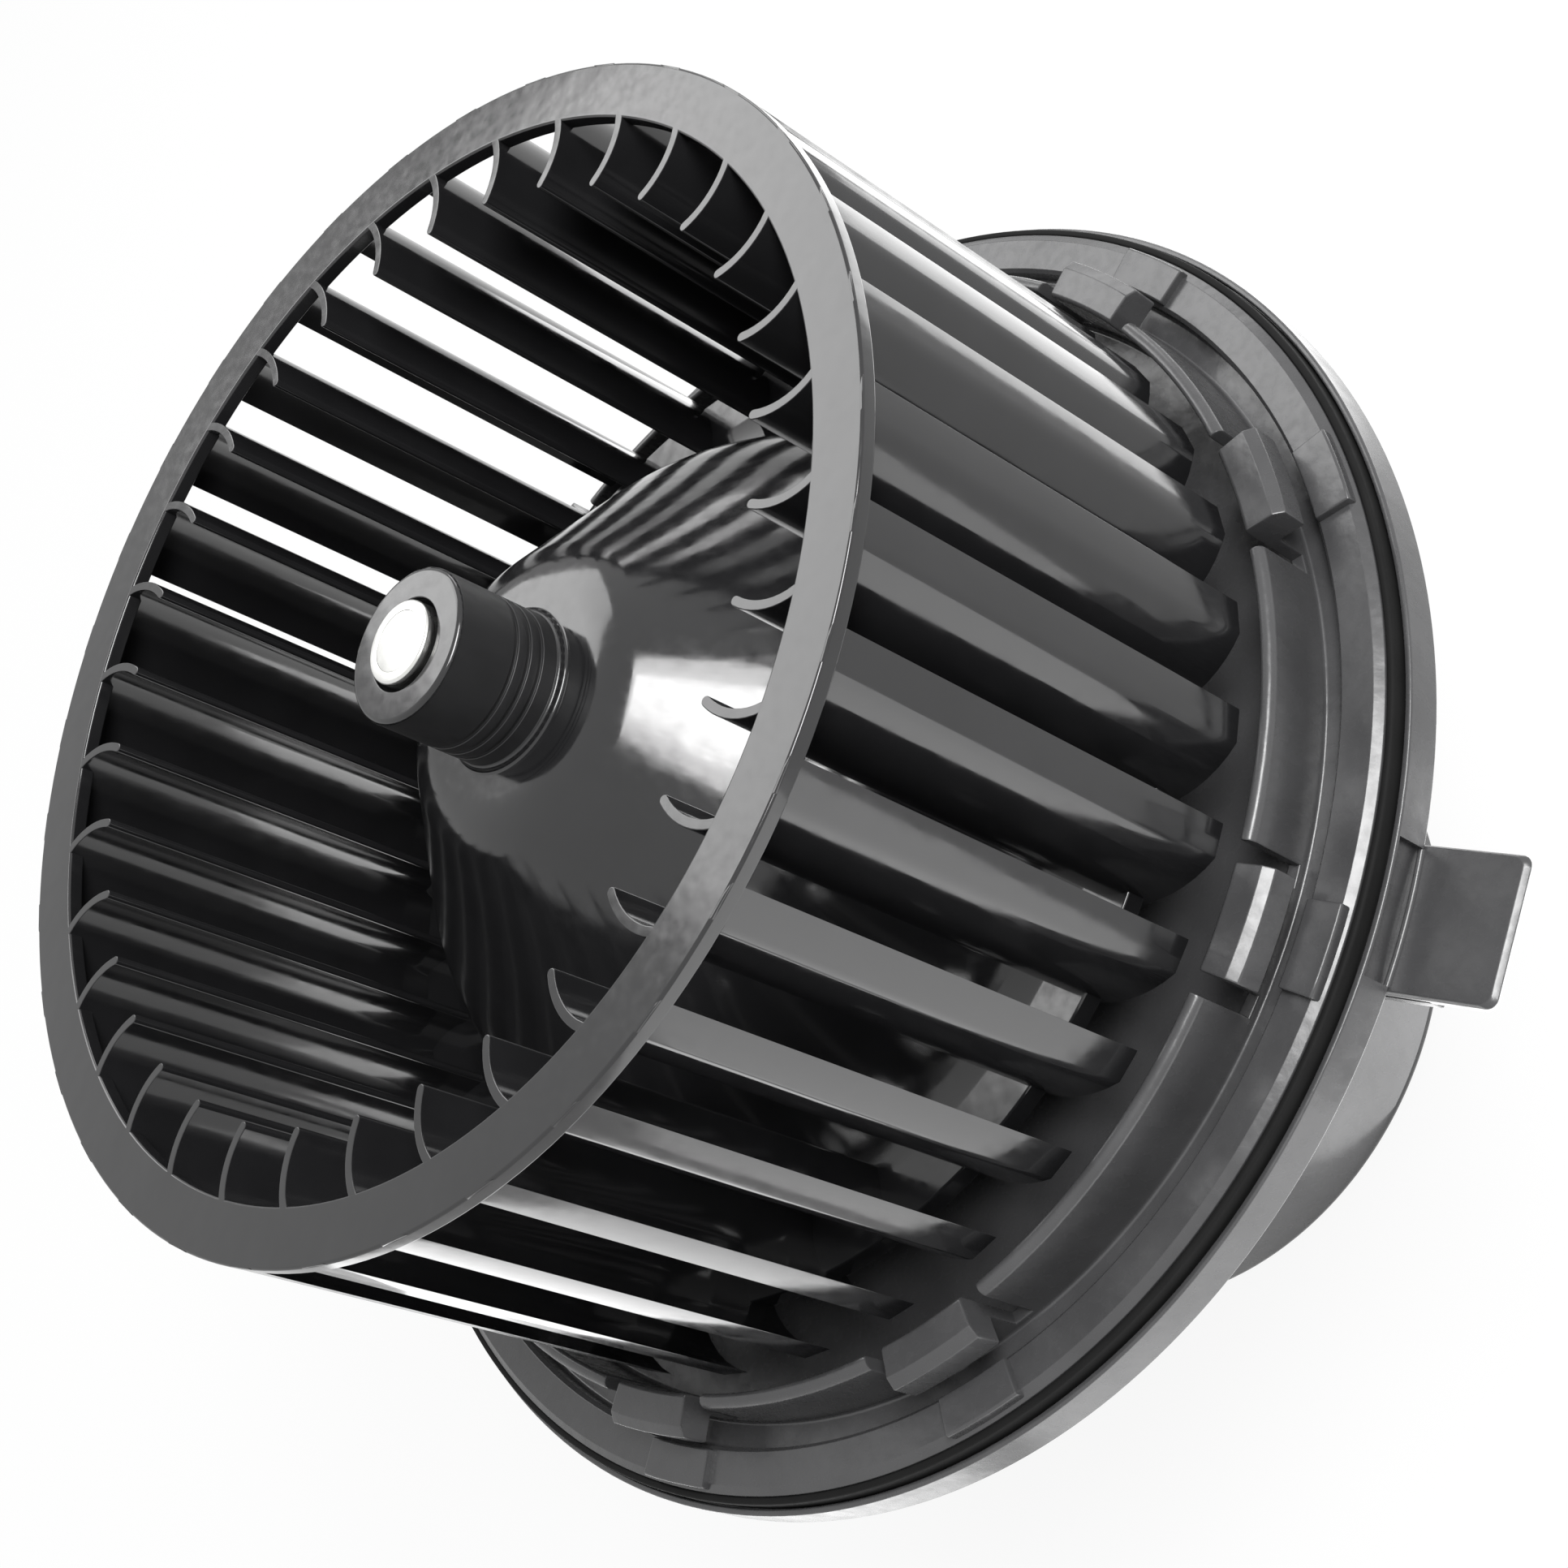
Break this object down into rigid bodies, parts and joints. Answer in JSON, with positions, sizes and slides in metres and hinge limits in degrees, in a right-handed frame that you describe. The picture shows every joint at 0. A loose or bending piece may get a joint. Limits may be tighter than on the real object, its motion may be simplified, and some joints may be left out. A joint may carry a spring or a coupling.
{
  "type": "car air conditioner blower",
  "caption": "Car heater and air conditioner blower: caged blade wheel on the shaft of a flange-mounted electric motor in a round plastic housing with snap lugs and a side tab.",
  "frame": {"origin": "on the shaft axis, in the plane of the flange lip", "axes": "+Z along the shaft to the open end of the wheel, +X to the side tab"},
  "size_m": [0.1943, 0.1808, 0.1499],
  "materials": {
    "wheel_plastic": "black glass-filled moulding",
    "housing_plastic": "black glass-filled moulding",
    "cover_plastic": "black moulding",
    "seal_rubber": "black foam rubber",
    "isolator_rubber": "black rubber",
    "sleeve_metal": "turned bright metal",
    "shaft_steel": "ground steel",
    "core_steel": "stacked electrical steel",
    "can_steel": "zinc-plated sheet steel",
    "spring_steel": "spring steel",
    "screw_steel": "zinc-plated steel",
    "copper_wire": "enamelled copper wire",
    "choke_winding": "enamelled copper wire",
    "commutator_copper": "turned copper",
    "terminal_brass": "bright brass",
    "bearing_bronze": "sintered bronze",
    "moulding_compound": "brown moulding compound",
    "washer_plastic": "natural nylon",
    "ferrite": "dark grey ferrite",
    "brush_carbon": "matt carbon",
    "oil_felt": "oiled felt"
  },
  "bodies": {
    "housing": {"mounting_housing": "housing_plastic", "flange_seal": "seal_rubber", "rear_cover": "cover_plastic", "cover_screws": "screw_steel", "terminal_left": "terminal_brass", "terminal_right": "terminal_brass", "motor_can": "can_steel", "magnet_left": "ferrite", "magnet_right": "ferrite", "magnet_clips": "spring_steel", "end_plate": "can_steel", "through_bolts": "screw_steel", "front_bearing": "bearing_bronze", "rear_bearing": "bearing_bronze", "front_bearing_retainer": "spring_steel", "rear_bearing_retainer": "spring_steel", "front_felt_ring": "oil_felt", "rear_felt_ring": "oil_felt", "brush_carrier": "moulding_compound", "brush_box_left": "terminal_brass", "brush_box_right": "terminal_brass", "brush_spring_left": "spring_steel", "brush_spring_right": "spring_steel", "choke_left": "choke_winding", "choke_right": "choke_winding", "front_isolator": "isolator_rubber", "rear_isolator": "isolator_rubber"},
    "rotor": {"blower_wheel": "wheel_plastic", "hub_sleeve": "sleeve_metal", "motor_shaft": "shaft_steel", "armature_core": "core_steel", "armature_windings": "copper_wire", "commutator": "commutator_copper", "commutator_hub": "moulding_compound", "front_thrust_washer": "washer_plastic", "rear_thrust_washer": "washer_plastic"},
    "left_brush": {"brush_left": "brush_carbon"},
    "right_brush": {"brush_right": "brush_carbon"}
  },
  "joints": [
    {"name": "rotor_spin", "type": "hinge", "parent": "housing", "child": "rotor", "pos_m": [0, 0, 0], "axis": [0, 0, 1], "continuous": true},
    {"name": "left_brush_slide", "type": "slide", "parent": "housing", "child": "left_brush", "axis": [-1, 0, 0], "range_m": [0, 0.003], "stiffness_N_per_m": 60, "springref_m": -0.004, "deforming": ["brush_spring_left"]},
    {"name": "right_brush_slide", "type": "slide", "parent": "housing", "child": "right_brush", "axis": [1, 0, 0], "range_m": [0, 0.003], "stiffness_N_per_m": 60, "springref_m": -0.004, "deforming": ["brush_spring_right"]}
  ]
}
